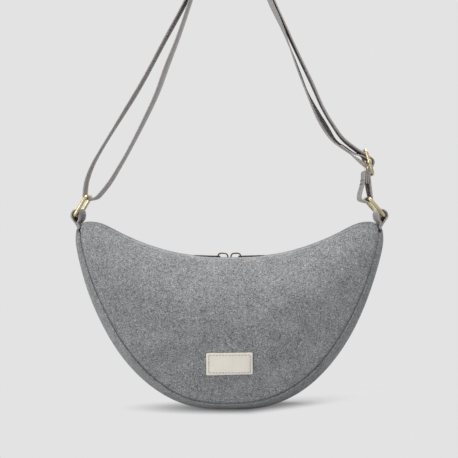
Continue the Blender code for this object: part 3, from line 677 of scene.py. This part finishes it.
def close_up(bm):
    """Fills the open ends, welds doubles and points every face outwards."""
    bmesh.ops.remove_doubles(bm, verts=bm.verts, dist=WELD)
    bmesh.ops.holes_fill(bm, edges=bm.edges, sides=0)
    bmesh.ops.recalc_face_normals(bm, faces=bm.faces)
    return bm


def stations_along(points, side, closed=False):
    """Frames along a line, whose Z runs ahead and whose Y lies to the side."""
    before = [points[-1] if closed else points[0], *points[:-1]]
    after = [*points[1:], points[0] if closed else points[-1]]
    frames = []
    for behind, point, ahead in zip(before, points, after):
        along = (ahead - behind).normalized()
        across = (side - along * side.dot(along)).normalized()
        turn = Matrix((across.cross(along), across, along)).transposed().to_4x4()
        frames.append(Matrix.Translation(point) @ turn)
    return frames + frames[:1] if closed else frames


def eased(points, step):
    """A smooth line through points, with stations about one step apart."""
    line = []
    last = len(points) - 1
    for i in range(last):
        a, b, c, d = (points[min(max(0, i + ahead), last)] for ahead in (-1, 0, 1, 2))
        near, span, far = (b - a).length, (c - b).length, (d - c).length
        start = (c - a) * (span / max(span + near, WELD))
        end = (d - b) * (span / max(span + far, WELD))
        pieces = max(2, math.ceil(span / step))
        for j in range(pieces):
            t = j / pieces
            t2, t3 = t * t, t * t * t
            line.append(
                b * (2 * t3 - 3 * t2 + 1) + start * (t3 - 2 * t2 + t)
                + c * (3 * t2 - 2 * t3) + end * (t3 - t2)
            )
    return [*line, points[-1]]


def rungs_from(end, row):
    """The middles of the edges that are crossed on a walk along a row of faces."""
    ahead = next(edge for edge in end.edges if len(row.intersection(edge.link_faces)) == 2)
    rungs = []
    face, rung = end, opposite(end, ahead)
    while face is not None:
        rungs.append(rung)
        rung = opposite(face, rung)
        face = next((other for other in rung.link_faces if other in row and other != face), None)
    rungs.append(rung)
    return [(edge.verts[0].co + edge.verts[1].co) / 2 for edge in rungs]


def opposite(face, edge):
    loop = next(loop for loop in face.loops if loop.edge == edge)
    return loop.link_loop_next.link_loop_next.edge


def band_middle(node):
    """The middle line of a CAD band across Y from its lower end, read from its side's faces."""
    bm = squared(node_copy(node))
    row = {face for face in bm.faces if face.normal.y > 0.9}
    ends = [face for face in row if sum(other in row for edge in face.edges
                                        for other in edge.link_faces if other != face) == 1]
    ends.sort(key=lambda end: tuple(end.calc_center_median().zx))
    middle = max((rungs_from(end, row) for end in ends), key=len)
    bm.free()
    if middle[0].z > middle[-1].z:
        middle.reverse()
    return [Vector((point.x, 0.0, point.z)) for point in middle]


def level_with(height, points):
    """The point whose height is nearest."""
    return min(points, key=lambda point: abs(point.z - height))


def pinched(line, settings):
    """Draws a tab's inner leg towards its outer leg, most of all at the neck."""
    apex = max(range(len(line)), key=lambda i: line[i].z)
    inner, outer = sorted(
        (line[:apex], line[apex + 1:]),
        key=lambda leg: sum(abs(point.x) for point in leg) / len(leg),
    )
    root = min(point.z for point in line)
    for point in inner:
        close = swell(point.z, root + settings.tab_neck, root)
        pinch = settings.tab_pinch + (settings.tab_close - settings.tab_pinch) * close
        point.x += (level_with(point.z, outer).x - point.x) * pinch
    return line


def turned_up(bm, x, low, high, turn):
    """Turns a mesh about an upright line, not at all at low and fully at high."""
    for vert in bm.verts:
        place = Vector((x, 0.0, vert.co.z))
        turned = Matrix.Rotation(turn * swell(vert.co.z, low, high), 3, "Z")
        vert.co = place + turned @ (vert.co - place)


def loop_legs(line):
    """The two legs of the hanging loop that the strap's line starts with."""
    start = line[:len(line) // 4]
    bottom = min(range(len(start)), key=lambda i: start[i].z)
    return start[:bottom], start[bottom:]


def drawn_together(line, low, high, gap):
    """Lays the hanging loop's first leg against its second leg, from low up to high."""
    first, second = loop_legs(line)
    drawn = []
    for point in first:
        beside = Vector((level_with(point.z, second).x - gap, 0.0, point.z))
        drawn.append(point.lerp(beside, swell(point.z, low, high)))
    return drawn + line[len(first):]


def band(line, width, thickness, sides, bends=()):
    """Flat webbing with rounded edges along a line, turned and swayed at its bends."""
    bm = bmesh.new()
    run = bm.verts.layers.float_vector.new("run")
    ring = bmesh.ops.create_circle(bm, segments=sides, radius=thickness / 2)["verts"]
    bmesh.ops.rotate(bm, verts=ring, matrix=Matrix.Rotation(math.pi / sides, 3, "Z"))
    for hand in (-1, 1):
        edge = [vert for vert in ring if vert.co.y * hand > 0]
        shift = Vector((0.0, hand * (width - thickness) / 2, 0.0))
        bmesh.ops.translate(bm, verts=edge, vec=shift)
    for vert in ring:
        vert[run] = Vector((vert.co.y, 0.0, 0.0))
    stations = stations_along(line, SIDEWAYS)
    travelled = 0.0
    for i, point in enumerate(line):
        travelled += (point - line[max(0, i - 1)]).length
        for place, reach, turn, sway in bends:
            part = swell(abs(travelled - place), reach, 0.0)
            shift = Matrix.Translation((part * sway, 0.0, 0.0))
            stations[i] = stations[i] @ shift @ Matrix.Rotation(math.radians(turn * part), 4, "Z")
    bmesh.ops.transform(bm, matrix=stations[0], verts=ring)
    sweep(bm, list(bm.edges), stations, run)
    return close_up(bm)


def rounded_loop(centre, up, width, height, corner, turns=6):
    """Points round a rectangle across Y whose corners are bent with one radius."""
    points = []
    for quarter in range(4):
        hand = 1 if quarter in (0, 3) else -1
        rise = 1 if quarter in (0, 1) else -1
        middle = centre + SIDEWAYS * hand * (width / 2 - corner)
        middle += up * rise * (height / 2 - corner)
        for step in range(turns + 1):
            angle = (quarter + step / turns) * math.pi / 2
            points.append(middle + (SIDEWAYS * math.cos(angle) + up * math.sin(angle)) * corner)
    return points


def tube(bm, stations, radius, sides):
    verts = bmesh.ops.create_circle(bm, segments=sides, radius=radius)["verts"]
    bmesh.ops.transform(bm, matrix=stations[0], verts=verts)
    sweep(bm, [edge for edge in bm.edges if edge.verts[0] in verts], stations)


def wire_loop(points, up, radius, sides):
    """A closed wire along the points of a loop across Y."""
    bm = bmesh.new()
    tube(bm, stations_along(points, up.cross(SIDEWAYS), True), radius, sides)
    return close_up(bm)


def stitch(bm, start, end, radius, lift):
    """One stitch of thread: a short bead that dips into the cloth at both ends."""
    middle = (start + end) / 2 + lift
    points = [start, start.lerp(middle, 0.35) + lift * 0.5, middle,
              end.lerp(middle, 0.35) + lift * 0.5, end]
    tube(bm, stations_along(points, lift.normalized()), radius, THREAD_SIDES)


# Operators

class BAG_OT_felt(bpy.types.Operator):
    """Felt panels, bottom band and zip strips with soft turned-in seams"""

    bl_idname = "bag.felt"
    bl_label = "Felt shell"

    def execute(self, context):
        settings = context.scene.bag_felt
        felt = felt_finish(settings)
        pieces = (
            ("front_panel", "felt_front", BAG_INSIDE),
            ("back_panel", "felt_back", BAG_INSIDE),
            ("bottom_gusset", "felt_bottom_band", BAG_INSIDE),
            ("zip_strip_front", "felt_zip_strip_front", UNDER_ZIP),
            ("zip_strip_back", "felt_zip_strip_back", UNDER_ZIP),
        )
        turns = [
            (settings.seam_reach * part, settings.seam_depth * part) for part in (0.40, 0.60)
        ]
        for node, name, inside in pieces:
            bm = outer_skin(node, inside)
            if node.endswith("panel"):
                draw_in_border(bm, settings.seam_band, settings.seam_dip)
            turn_in_edges(bm, turns)
            soften(bm, settings)
            piece = new_piece(name, bm, felt, "bag", "felt", node)
            thicken(piece, settings.thickness)
        return {"FINISHED"}


class BAG_OT_lining(bpy.types.Operator):
    """Thin lining inside the felt"""

    bl_idname = "bag.lining"
    bl_label = "Lining"

    def execute(self, context):
        settings = context.scene.bag_lining
        cloth = cloth_finish("plain_lining", settings.cloth, 0.8 * MM)
        for node in ("lining_front", "lining_back", "lining_gusset"):
            bm = outer_skin(node, BAG_INSIDE)
            soften(bm, context.scene.bag_felt)
            piece = new_piece(node + "_cloth", bm, cloth, "bag", "lining", node)
            thicken(piece, settings.thickness)
        return {"FINISHED"}


class BAG_OT_label(bpy.types.Operator):
    """Bare woven label, sewn on with a line of stitches"""

    bl_idname = "bag.label"
    bl_label = "Label"

    def execute(self, context):
        settings = context.scene.bag_label
        cloth = cloth_finish("cream_woven_label", settings.cloth, 0.62 * MM)
        bm = outer_skin("label", Vector((0.0, 0.0, box_centre("label").z)))
        bmesh.ops.subdivide_edges(bm, edges=bm.edges, cuts=2, use_grid_fill=True)
        soften(bm, context.scene.bag_felt)
        bm.normal_update()
        self.sew(bm, settings)
        turn_in_edges(bm, ((0.15 * MM, 0.25 * MM),))
        piece = new_piece("label_cloth", bm, cloth, "bag", "label", "label")
        thicken(piece, settings.thickness, 1)
        return {"FINISHED"}

    def sew(self, bm, settings):
        """Stitches that lie on the label's surface."""
        surface = BVHTree.FromBMesh(bm)
        thread = bmesh.new()
        lift = SIDEWAYS * settings.thread * -1.1
        low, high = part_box("label")
        inset = settings.stitch_inset
        left, right, foot, head = low.x + inset, high.x - inset, low.z + inset, high.z - inset
        corners = [
            Vector((x, 0.0, z))
            for x, z in ((left, foot), (right, foot), (right, head), (left, head))
        ]
        for start, end in zip(corners, corners[1:] + corners[:1]):
            run = end - start
            stitches = round(run.length / settings.stitch_pitch)
            for i in range(stitches):
                ends = []
                for way in (LABEL_STITCH_START, LABEL_STITCH_START + settings.stitch_share):
                    place = start + run * ((i + way) / stitches)
                    place.y = IN_FRONT
                    ends.append(surface.ray_cast(place, SIDEWAYS)[0])
                stitch(thread, *ends, settings.thread, lift)
        finish = thread_finish("label_thread", settings.thread_colour)
        new_piece("label_stitches", close_up(thread), finish, "bag", "label")


class BAG_OT_webbing(bpy.types.Operator):
    """Strap and the two tabs, woven in one webbing"""

    bl_idname = "bag.webbing"
    bl_label = "Webbing"

    def execute(self, context):
        settings = context.scene.bag_webbing
        webbing = webbing_finish("grey_webbing", settings)
        width = box_size("tab_left").y
        gap = settings.thickness * (settings.sewn_layers + 1) * 1.05
        line = drawn_together(
            eased(band_middle("strap"), settings.step), settings.sewn_low, settings.sewn_high, gap
        )
        bm = band(line, width, settings.thickness, settings.edge_sides, STRAP_BENDS)
        new_piece("strap_webbing", bm, webbing, "strap", "webbing", "strap")
        self.sewn_loop(line, width, webbing, settings)
        for side in SIDES:
            self.tab("tab_" + side, JOINTS[f"ring_{side}_sway"]["pos_m"], width, webbing, settings)
        return {"FINISHED"}

    def tab(self, node, foot, width, webbing, settings):
        """A folded tab between the bag and its ring, whose bar lies at foot."""
        x, _, height = foot
        line = pinched(eased(band_middle(node), settings.tab_step), settings)
        bm = band(line, width, settings.tab_thickness, settings.edge_sides)
        turned_up(bm, box_centre(node).x, TAB_ROOT, height, math.copysign(settings.tab_turn, x))
        piece = new_piece(node + "_webbing", bm, webbing, None, "webbing", node)
        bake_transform(piece)

    def sewn_loop(self, line, width, webbing, settings):
        """Folded layers between the loop's legs, and the stitches through them."""
        first, second = loop_legs(line)
        top = line[0].z
        low = top - settings.sewn_length
        second = [point for point in second if low < point.z < top]
        facing = [level_with(point.z, first) for point in second]
        for layer in range(settings.sewn_layers):
            way = (layer + 1) / (settings.sewn_layers + 1)
            inside = [near.lerp(far, way) for near, far in zip(second, facing)]
            bm = band(inside, width - 0.5 * MM, settings.thickness, settings.edge_sides)
            new_piece(f"strap_fold_{layer + 1}", bm, webbing, "strap", "webbing")
        thread = bmesh.new()
        lift = Vector((-0.45 * MM, 0.0, 0.0))
        face = Vector((settings.thickness / 2, 0.0, 0.0))
        for row in SEWN_ROWS:
            spot = level_with(low + row, first) - face
            for i in range(settings.stitches):
                start = spot + SIDEWAYS * (i - MIDDLE_STITCH) * settings.stitch_pitch
                end = start + SIDEWAYS * settings.stitch_length
                stitch(thread, start, end, settings.thread_radius, lift)
        finish = thread_finish("strap_thread", settings.thread)
        new_piece("strap_stitches", close_up(thread), finish, "strap", "webbing")


class BAG_OT_brass(bpy.types.Operator):
    """Wire rings and the strap's adjuster in pale antique brass"""

    bl_idname = "bag.brass"
    bl_label = "Rings and adjuster"

    def execute(self, context):
        settings = context.scene.bag_brass
        brass = metal_finish("pale_antique_brass", settings.brass, settings.tarnish, 0.3, 9.0 * MM)
        for side in SIDES:
            self.ring("ring_" + side, settings, brass)
        self.adjuster("adjuster_frame", "adjuster_bar", settings, brass)
        return {"FINISHED"}

    def ring(self, node, settings, brass):
        """A ring whose lower bar runs through its joint."""
        wire = settings.ring_wire
        centre = box_centre(node)
        up = centre - Vector(JOINTS[node + "_sway"]["pos_m"])
        up.y = 0.0
        height = 2 * up.length
        up.normalize()
        width = box_size(node).y - 2 * wire
        points = rounded_loop(centre, up, width, height, settings.ring_corner)
        bm = wire_loop(points, up, wire, settings.sides)
        new_piece(node + "_wire", bm, brass, node, "aged_brass", node)

    def adjuster(self, node, bar, settings, brass):
        """The adjuster's leaning frame."""
        wire = settings.adjuster_wire
        size = box_size(node)
        up = Vector((2 * wire - size.x, 0.0, size.z - 2 * wire)).normalized()
        height = math.hypot(size.x - 2 * wire, size.z - 2 * wire)
        width = size.y - 2 * wire
        points = rounded_loop(box_centre(node), up, width, height, settings.adjuster_corner)
        bm = wire_loop(points, up, wire, settings.sides)
        new_piece("adjuster_wire_frame", bm, brass, "strap", "aged_brass", node)
        self.middle_bar(bar, up, width, settings, brass)

    def middle_bar(self, node, up, width, settings, brass):
        """The adjuster's bar, with an eye round each side rod."""
        centre = box_centre(node)
        wire = settings.adjuster_wire
        bm = bmesh.new()
        quarter = Matrix.Rotation(math.pi / 2, 4, "X")
        bmesh.ops.create_cone(
            bm, cap_ends=True, segments=settings.sides, radius1=wire, radius2=wire,
            depth=width - 2 * wire, matrix=Matrix.Translation(centre) @ quarter,
        )
        lean = Vector((0, 0, 1)).rotation_difference(up).to_matrix().to_4x4()
        for hand in (-1, 1):
            place = centre + SIDEWAYS * hand * width / 2
            made = bmesh.ops.create_cone(
                bm, cap_ends=True, segments=settings.sides, radius1=wire + settings.eye,
                radius2=wire + settings.eye, depth=settings.eye_width,
                matrix=Matrix.Translation(place) @ lean,
            )["verts"]
            rims = [
                edge for edge in bm.edges
                if edge.verts[0] in made and edge.calc_face_angle(0.0) > CAST_EDGE
            ]
            bevelled(bm, rims, settings.eye_edge, 3)
        bmesh.ops.recalc_face_normals(bm, faces=bm.faces)
        new_piece("adjuster_middle_bar", bm, brass, "strap", "aged_brass", node)


class BAG_OT_zip(bpy.types.Operator):
    """Woven tapes, metal teeth, stops, sliders and pulls"""

    bl_idname = "bag.zip"
    bl_label = "Zip"

    def execute(self, context):
        settings = context.scene.bag_zip
        bronze = metal_finish("dark_bronze", settings.bright, settings.bronze, 0.30, 2.2 * MM)
        tape = cloth_finish("woven_zip_tape", settings.tape, 0.9 * MM)
        for hand, side in ((-1, "front"), (1, "back")):
            node = "zip_tape_" + side
            bm = outer_skin(node, UNDER_ZIP)
            piece = new_piece("zip_tape_cloth_" + side, bm, tape, "bag", "zip_tape", node)
            thicken(piece, settings.tape_thickness, 1)
            self.teeth(side, hand, settings, bronze)
        for side in SIDES:
            self.cast_piece("zip_stop_" + side, "bag", settings.edge * 2, bronze)
            self.cast_piece("zip_slider_" + side, "slider_" + side, settings.edge, bronze)
            self.cast_piece("zip_pull_" + side, "pull_" + side, settings.edge * 1.5, bronze)
        return {"FINISHED"}

    def teeth(self, side, hand, settings, bronze):
        """One row of teeth, spun about the zip's centre."""
        node = "zip_teeth_" + side
        low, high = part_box(node)
        outer = max(abs(low.y), abs(high.y))
        level = low.z + settings.tooth_height / 2
        depth = outer + settings.tooth_reach
        radius = ZIP_CENTRE.z - level
        half_angle = math.asin((high.x - settings.row_margin) / radius)
        steps = int(2 * half_angle * radius / settings.tooth_pitch)
        turn = settings.tooth_pitch / radius
        bm = bmesh.new()
        place = Vector((0.0, hand * (outer - depth / 2), level))
        shape = Matrix.Diagonal((settings.tooth_length, depth, settings.tooth_height, 1.0))
        bmesh.ops.create_cube(bm, size=1.0, matrix=Matrix.Translation(place) @ shape)
        bevelled(bm, bm.edges[:], settings.tooth_edge, 1)
        start = -turn * steps / 2 + (turn / 4) * hand
        bmesh.ops.rotate(
            bm, verts=bm.verts, cent=ZIP_CENTRE, matrix=Matrix.Rotation(start, 3, "Y")
        )
        bmesh.ops.spin(
            bm, geom=bm.verts[:] + bm.edges[:] + bm.faces[:], cent=ZIP_CENTRE,
            axis=(0.0, 1.0, 0.0), angle=turn * steps, steps=steps, use_duplicate=True,
        )
        new_piece("zip_tooth_row_" + side, bm, bronze, "bag", "dark_bronze", node)

    def cast_piece(self, node, body, edge, bronze):
        """A cast metal piece: the CAD form with softened edges."""
        bm = node_copy(node)
        bmesh.ops.dissolve_limit(bm, angle_limit=math.radians(2.0), verts=bm.verts, edges=bm.edges)
        sharp = [item for item in bm.edges if item.calc_face_angle(0.0) > CAST_EDGE]
        bevelled(bm, sharp, edge, 2)
        new_piece(node + "_cast", bm, bronze, body, "dark_bronze", node)


class BAG_OT_stage(bpy.types.Operator):
    """Pale floor, soft light and the camera"""

    bl_idname = "bag.stage"
    bl_label = "Stage"

    def execute(self, context):
        settings = context.scene.bag_stage
        self.floor(settings)
        self.world(context.scene, settings)
        self.lamp("key", settings)
        self.lamp("top", settings)
        camera = new_object("camera", bpy.data.cameras.new("camera"))
        camera.location = settings.camera_place
        camera.rotation_euler = (math.pi / 2, 0.0, 0.0)
        camera.data.lens = settings.lens
        camera.data.sensor_width = 36.0
        context.scene.camera = camera
        context.scene.view_settings.view_transform = "Standard"
        return {"FINISHED"}

    def floor(self, settings):
        """A floor that takes the bag's shadow and fades into the backdrop's colour."""
        bm = bmesh.new()
        bmesh.ops.create_grid(bm, x_segments=1, y_segments=1, size=6.0)
        finish = Finish(
            "pale_floor", Base_Color=(*settings.ground, 1.0), Roughness=1.0, Specular_IOR_Level=0.0
        )
        across, away, _ = finish.parts(finish.place())
        right = (across - SHADOW_BEND).larger(0.0)
        across = across - right * SHADOW_STRETCH
        away = away - right * SHADOW_SLOPE
        distance = (across ** 2 + (away * SHADOW_NARROWING) ** 2) ** 0.5
        far = distance.ramp(settings.shadow_near, settings.shadow_far)
        far = far * (1 - settings.floor_glow) + settings.floor_glow
        glow = finish.node("ShaderNodeEmission", {}, (*settings.backdrop, 1.0), 1.0)
        lit = far * finish.seen()
        finish.show(finish.node("ShaderNodeMixShader", {}, lit, finish.shader, glow))
        floor = mesh_object("floor", bm, finish.material)

    def world(self, scene, settings):
        """Even white light, seen as the backdrop's colour."""
        world = bpy.data.worlds.new("studio")
        world.use_nodes = True
        scene.world = world
        sky = Nodes(world.node_tree, "ShaderNodeOutputWorld")
        light = sky.node("ShaderNodeBackground", {}, (1.0, 1.0, 1.0, 1.0), settings.world_strength)
        backdrop = sky.node("ShaderNodeBackground", {}, (*settings.backdrop, 1.0), 1.0)
        sky.show(sky.node("ShaderNodeMixShader", {}, sky.seen(), light, backdrop))

    def lamp(self, name, settings):
        """A large soft lamp aimed at the bag."""
        lamp = bpy.data.lights.new(name + "_lamp", "AREA")
        lamp.shape = "DISK"
        lamp.size = getattr(settings, name + "_size")
        lamp.energy = getattr(settings, name + "_power")
        item = new_object(name + "_lamp", lamp)
        item.location = getattr(settings, name + "_place")
        aim = Vector(settings.aim) - item.location
        item.rotation_euler = aim.to_track_quat("-Z", "Y").to_euler()


OPERATORS = (
    BAG_OT_felt, BAG_OT_lining, BAG_OT_label, BAG_OT_webbing, BAG_OT_brass, BAG_OT_zip,
    BAG_OT_stage,
)


class BAG_PT_pieces(bpy.types.Panel):
    """Lists the bag's pieces and their settings"""

    bl_idname = "BAG_PT_pieces"
    bl_label = "Belt bag"
    bl_space_type = "VIEW_3D"
    bl_region_type = "UI"
    bl_category = "Belt bag"

    def draw(self, context):
        for operator, group in zip(OPERATORS, GROUPS):
            box = self.layout.box()
            box.operator(operator.bl_idname)
            settings = getattr(context.scene, group)
            for name in GROUPS[group].__annotations__:
                box.prop(settings, name)


def register():
    for group, kind in GROUPS.items():
        bpy.utils.register_class(kind)
        setattr(bpy.types.Scene, group, PointerProperty(type=kind))
    for kind in (*OPERATORS, BAG_PT_pieces):
        bpy.utils.register_class(kind)


def unregister():
    for kind in (BAG_PT_pieces, *reversed(OPERATORS)):
        bpy.utils.unregister_class(kind)
    for group, kind in GROUPS.items():
        delattr(bpy.types.Scene, group)
        bpy.utils.unregister_class(kind)


def main():
    register()
    bpy.ops.bag.felt()
    bpy.ops.bag.lining()
    bpy.ops.bag.label()
    bpy.ops.bag.webbing()
    bpy.ops.bag.brass()
    bpy.ops.bag.zip()
    bpy.ops.bag.stage()


if __name__ == "__main__":
    main()
